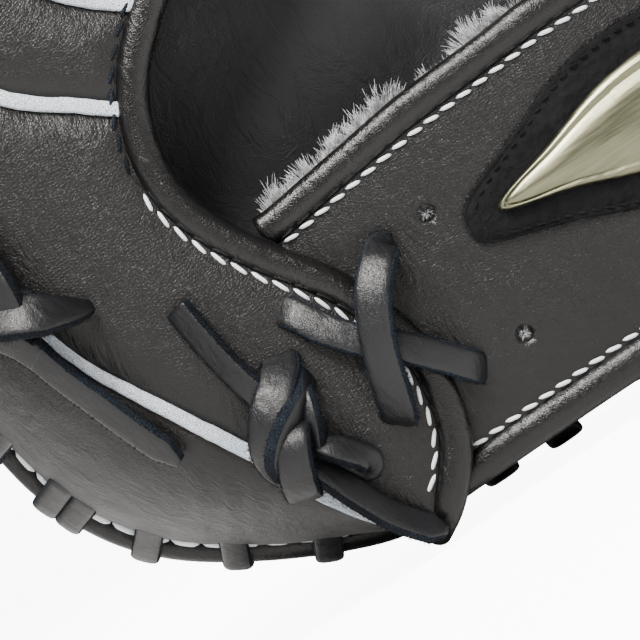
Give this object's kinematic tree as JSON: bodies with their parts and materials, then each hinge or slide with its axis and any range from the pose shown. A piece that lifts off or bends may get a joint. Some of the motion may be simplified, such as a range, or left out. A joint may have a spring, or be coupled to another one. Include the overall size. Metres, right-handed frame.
{
  "type": "baseball catcher's mitt",
  "caption": "Left-hand catcher's mitt with a padded round pocket, closed web, laced rim, finger and thumb stalls and a fleece-lined wrist strap; the thumb half swings to close the pocket.",
  "frame": {"origin": "on the floor under the middle of the mitt's box, as it stands on its heel", "axes": "+Z from the heel up to the web, +Y out of the catching face, +X towards the thumb, so -Y is the back of the hand"},
  "size_m": [0.27, 0.1112, 0.2887],
  "materials": {
    "black_leather": "semi-gloss, fine grain",
    "lining_leather": "matte",
    "padding": "felt",
    "white_welt": "matte",
    "lace_leather": "semi-matte",
    "fleece": "long pile",
    "badge_cloth": "velvet",
    "badge_metal": "polished"
  },
  "bodies": {
    "finger_side": {"palm_cover_finger_side": "black_leather", "index_stall": "black_leather", "middle_stall": "black_leather", "ring_stall": "black_leather", "little_stall": "black_leather", "finger_side_panel": "black_leather", "index_side_wall": "black_leather", "finger_back_binding": "black_leather", "rim_roll_finger_side": "black_leather", "wrist_strap": "black_leather", "strap_upper_binding": "black_leather", "strap_lower_binding": "black_leather", "web_panel_finger_side": "black_leather", "web_crotch": "black_leather", "palm_lining_finger_side": "lining_leather", "divider_index_middle": "lining_leather", "divider_middle_ring": "lining_leather", "divider_ring_little": "lining_leather", "little_finger_loop": "lining_leather", "palm_pad_finger_side": "padding", "welt_index_middle": "white_welt", "welt_middle_ring": "white_welt", "welt_ring_little": "white_welt", "welt_finger_side": "white_welt", "rim_lace_finger_side": "lace_leather", "strap_cross_lace": "lace_leather", "heel_knot": "lace_leather", "heel_knot_ends": "lace_leather", "side_knot": "lace_leather", "side_lace_end": "lace_leather", "heel_lace": "lace_leather", "web_centre_lace_finger_side": "lace_leather", "strap_fleece": "fleece", "badge_patch": "badge_cloth", "badge_plate": "badge_metal"},
    "thumb_side": {"palm_cover_thumb_side": "black_leather", "thumb_stall": "black_leather", "thumb_side_panel": "black_leather", "thumb_side_wall": "black_leather", "thumb_back_binding": "black_leather", "rim_roll_thumb_side": "black_leather", "web_panel_thumb_side": "black_leather", "palm_lining_thumb_side": "lining_leather", "thumb_loop": "lining_leather", "palm_pad_thumb_side": "padding", "welt_thumb_side": "white_welt", "rim_lace_thumb_side": "lace_leather", "web_centre_lace_thumb_side": "lace_leather"}
  },
  "joints": [
    {"name": "pocket_close", "type": "hinge", "parent": "finger_side", "child": "thumb_side", "pos_m": [0.02501, -0.002, 0], "axis": [0, 0, 1], "range_deg": [0, 25]}
  ]
}
